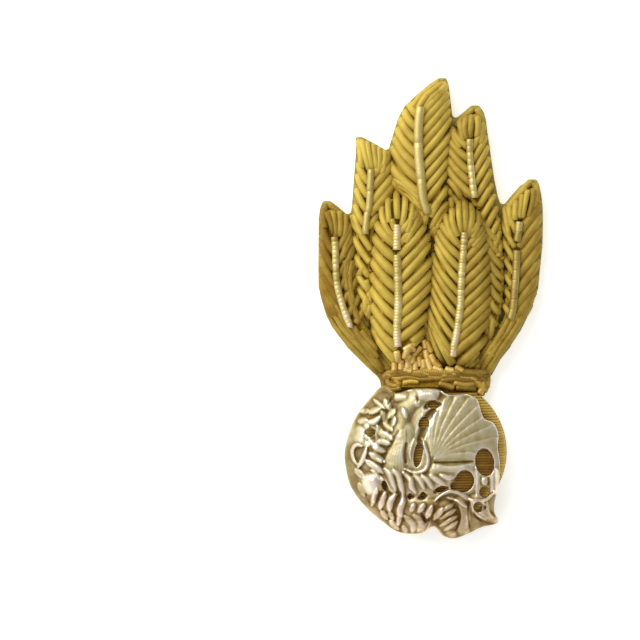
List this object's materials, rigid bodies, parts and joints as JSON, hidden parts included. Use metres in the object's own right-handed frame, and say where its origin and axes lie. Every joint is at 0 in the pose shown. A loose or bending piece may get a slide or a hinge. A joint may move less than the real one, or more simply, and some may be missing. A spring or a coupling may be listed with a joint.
{
  "type": "collar badge",
  "caption": "Collar badge in gold bullion: padded tongues of flame over a domed ball with a pierced silver emblem, on a flat felt back.",
  "frame": {"origin": "under the middle of the badge, on the flat back of the felt", "axes": "+Y from the ball towards the tallest flame, +X to the right seen from the face, +Z out of the face"},
  "size_m": [0.0313, 0.064, 0.0078],
  "materials": {
    "felt": "stiff olive wool felt, its cut edge showing round the flames",
    "gold_purl": "smooth gilt wire coil, softly shiny, laid over padding",
    "rough_purl": "bright pale gilt rough purl, faceted and glittering",
    "gold_chips": "short cut chips of bright gilt purl",
    "gold_wire": "gilt wire laid close over a padded ball, darker in the hollows",
    "silver_plate": "cast and silver-plated, warm in tone, rubbed bright on the relief and dull in the hollows"
  },
  "bodies": {
    "root": {"backing": "felt", "tongue_far_left": "gold_purl", "tongue_left": "gold_purl", "tongue_centre": "gold_purl", "tongue_right": "gold_purl", "tongue_far_right": "gold_purl", "tongue_front_left": "gold_purl", "tongue_front_right": "gold_purl", "vein_far_left": "rough_purl", "vein_left": "rough_purl", "vein_centre": "rough_purl", "vein_right": "rough_purl", "vein_far_right": "rough_purl", "vein_front_left": "rough_purl", "vein_front_right": "rough_purl", "neck_wrap": "gold_purl", "neck_chips": "gold_chips", "ball_pad": "gold_wire", "emblem": "silver_plate"}
  },
  "joints": []
}
